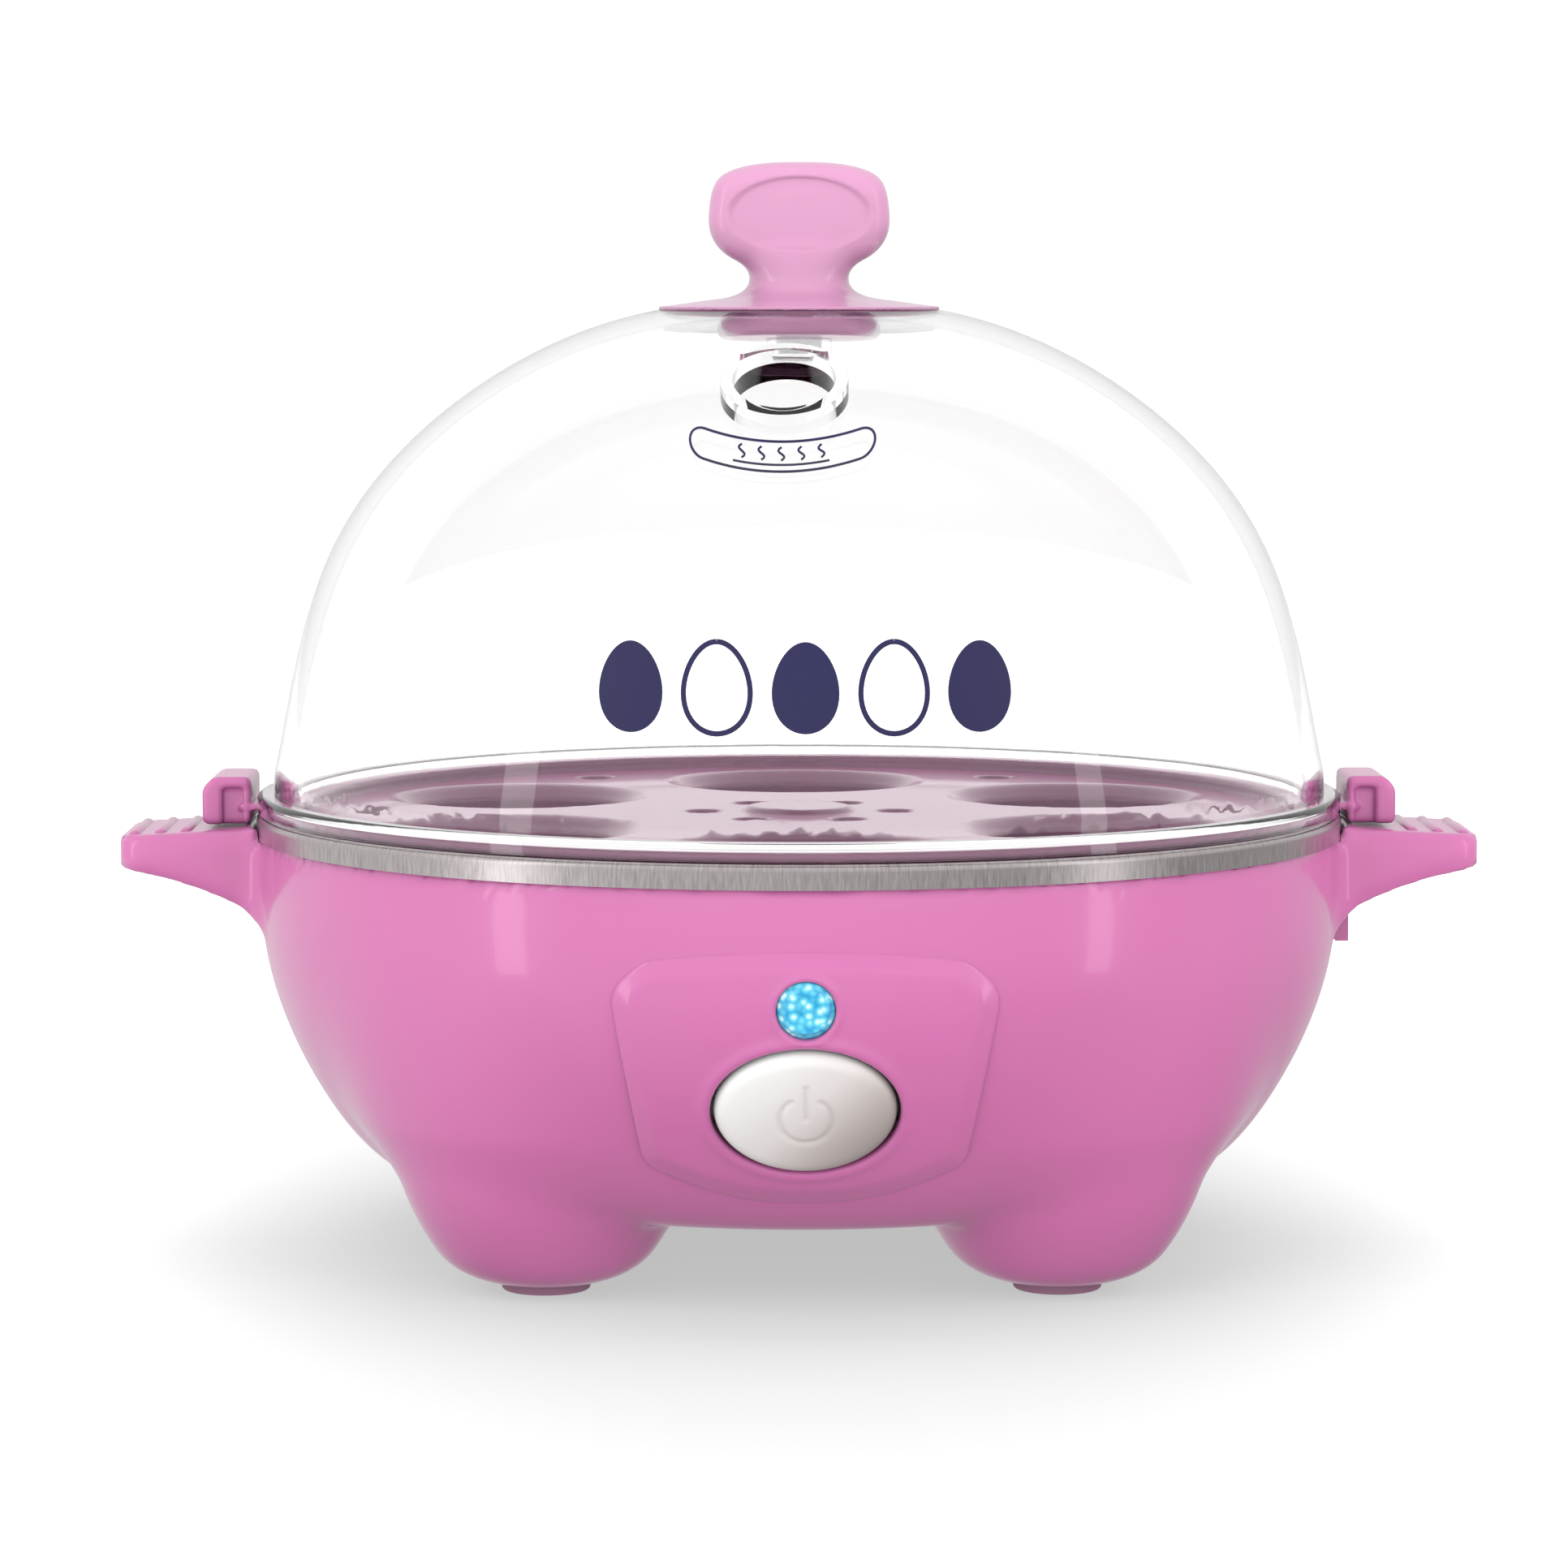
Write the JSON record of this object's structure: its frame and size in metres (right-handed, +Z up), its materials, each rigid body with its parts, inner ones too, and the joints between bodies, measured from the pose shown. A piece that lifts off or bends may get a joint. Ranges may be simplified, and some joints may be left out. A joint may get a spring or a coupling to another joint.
{
  "type": "egg cooker",
  "caption": "Countertop electric steam cooker for eggs: pink bowl-shaped base on moulded legs, stainless heating plate, lift-out egg tray, clear dome lid with knob, push button and lamp.",
  "frame": {"origin": "on the surface that the cooker stands on, under the middle of its bounding box, which is the axis of the bowl and dome", "axes": "+X to the cooker's right handle as seen from the front, +Y to the back, so the control panel faces -Y, +Z up"},
  "size_m": [0.19, 0.1529, 0.1525],
  "materials": {
    "pink_plastic": "glossy moulded",
    "clear_plastic": "clear moulded",
    "stainless": "brushed",
    "satin_silver": "satin silver paint",
    "blue_lens": "faceted, tinted",
    "lamp_glass": "clear",
    "foot_rubber": "matte",
    "gland_rubber": "matte",
    "silicone": "matte",
    "zinc_steel": "zinc plated",
    "aluminium": "machined",
    "element_sheath": "heat tinted",
    "wire_sheath": "braided sleeve",
    "ivory_plastic": "moulded",
    "black_plastic": "moulded"
  },
  "bodies": {
    "base": {"base_cover": "pink_plastic", "base_housing": "pink_plastic", "bracket_screws": "zinc_steel", "button_spring": "zinc_steel", "clamp_screws": "zinc_steel", "control_panel": "pink_plastic", "cord_clamp": "ivory_plastic", "cord_gland": "gland_rubber", "cord_hook": "pink_plastic", "cover_screws": "zinc_steel", "foot_pad_back_left": "foot_rubber", "foot_pad_back_right": "foot_rubber", "foot_pad_front_left": "foot_rubber", "foot_pad_front_right": "foot_rubber", "heat_spreader": "aluminium", "heating_element": "element_sheath", "heating_plate": "stainless", "indicator_lamp": "lamp_glass", "indicator_lens": "blue_lens", "lamp_wire_left": "wire_sheath", "lamp_wire_right": "wire_sheath", "leg_end_back_left": "pink_plastic", "leg_end_back_right": "pink_plastic", "leg_end_front_left": "pink_plastic", "leg_end_front_right": "pink_plastic", "plate_gasket": "silicone", "plate_posts": "zinc_steel", "plate_screws": "zinc_steel", "push_switch": "black_plastic", "sounder": "black_plastic", "switch_bracket": "ivory_plastic", "terminal_block": "ivory_plastic", "thermal_fuse": "zinc_steel", "thermostat": "aluminium", "thermostat_clamp": "zinc_steel", "thermostat_screws": "zinc_steel", "wire_element_to_thermostat": "wire_sheath", "wire_fuse_to_block": "wire_sheath", "wire_switch_to_block": "wire_sheath", "wire_switch_to_element": "wire_sheath", "wire_thermostat_to_fuse": "wire_sheath"},
    "button": {"power_button": "satin_silver", "switch_plunger": "ivory_plastic"},
    "tray": {"egg_tray": "pink_plastic"},
    "lid": {"lid_dome": "clear_plastic", "lid_knob": "pink_plastic", "knob_washer": "silicone", "knob_retainer": "pink_plastic", "knob_screw": "zinc_steel", "screw_cap": "clear_plastic"}
  },
  "joints": [
    {"name": "button_press", "type": "slide", "parent": "base", "child": "button", "axis": [0, 0.9135, 0.4067], "range_m": [0, 0.0022], "stiffness_N_per_m": 600, "deforming": ["button_spring"]},
    {"name": "tray_lift", "type": "slide", "parent": "base", "child": "tray", "axis": [0, 0, 1], "range_m": [0, 0.06]},
    {"name": "lid_lift", "type": "slide", "parent": "tray", "child": "lid", "axis": [0, 0, 1], "range_m": [0, 0.1]}
  ]
}
